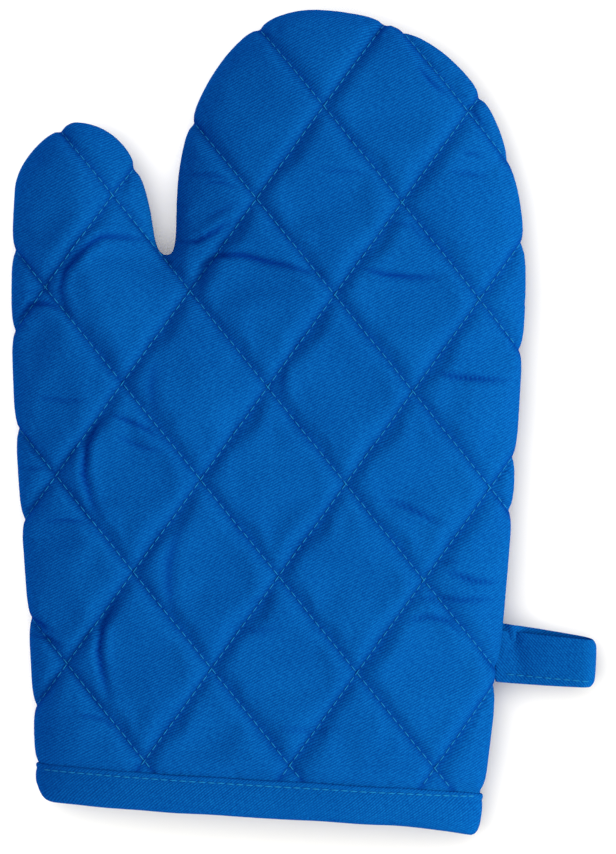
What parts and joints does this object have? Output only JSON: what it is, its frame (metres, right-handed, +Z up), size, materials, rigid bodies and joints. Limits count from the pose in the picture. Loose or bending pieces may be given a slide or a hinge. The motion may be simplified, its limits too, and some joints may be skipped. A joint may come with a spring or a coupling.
{
  "type": "oven mitt",
  "caption": "Quilted cotton oven mitt with thumb, bound cuff and a hanging loop; flat-lying hand-shaped pocket, padded and lined, that shields a hand from heat.",
  "frame": {"origin": "on the flat of the back panel, under the middle of the palm; the table it lies on is z = 0", "axes": "+Y from the cuff to the fingertips, +X towards the hanging loop and away from the thumb, +Z up out of the palm"},
  "size_m": [0.2063, 0.2741, 0.032],
  "materials": {
    "shell_twill": "royal blue cotton twill, matt",
    "binding_twill": "royal blue cotton twill, matt",
    "thread": "lighter blue polyester sewing thread",
    "wadding": "off-white polyester wadding",
    "lining_cotton": "natural plain-weave cotton"
  },
  "bodies": {
    "hand": {"front_shell_hand": "shell_twill", "back_shell_hand": "shell_twill", "front_wadding_hand": "wadding", "back_wadding_hand": "wadding", "front_lining_hand": "lining_cotton", "back_lining_hand": "lining_cotton", "cuff_binding": "binding_twill", "cuff_topstitch": "thread"},
    "fingers": {"front_shell_fingers": "shell_twill", "back_shell_fingers": "shell_twill", "front_wadding_fingers": "wadding", "back_wadding_fingers": "wadding", "front_lining_fingers": "lining_cotton", "back_lining_fingers": "lining_cotton"},
    "thumb": {"front_shell_thumb": "shell_twill", "back_shell_thumb": "shell_twill", "front_wadding_thumb": "wadding", "back_wadding_thumb": "wadding", "front_lining_thumb": "lining_cotton", "back_lining_thumb": "lining_cotton"},
    "loop": {"hanging_loop": "binding_twill", "loop_stitch": "thread"}
  },
  "joints": [
    {"name": "fingers_fold", "type": "hinge", "parent": "hand", "child": "fingers", "pos_m": [0, 0.077, 0.032], "axis": [1, 0, 0], "range_deg": [0, 75]},
    {"name": "thumb_fold", "type": "hinge", "parent": "hand", "child": "thumb", "pos_m": [-0.04762, 0.06745, 0.032], "axis": [0.5373, 0.8434, 0], "range_deg": [0, 60]},
    {"name": "loop_flap", "type": "hinge", "parent": "hand", "child": "loop", "pos_m": [0.08473, -0.0675, 0.012], "axis": [0, -1, 0], "range_deg": [-75, 80]}
  ]
}
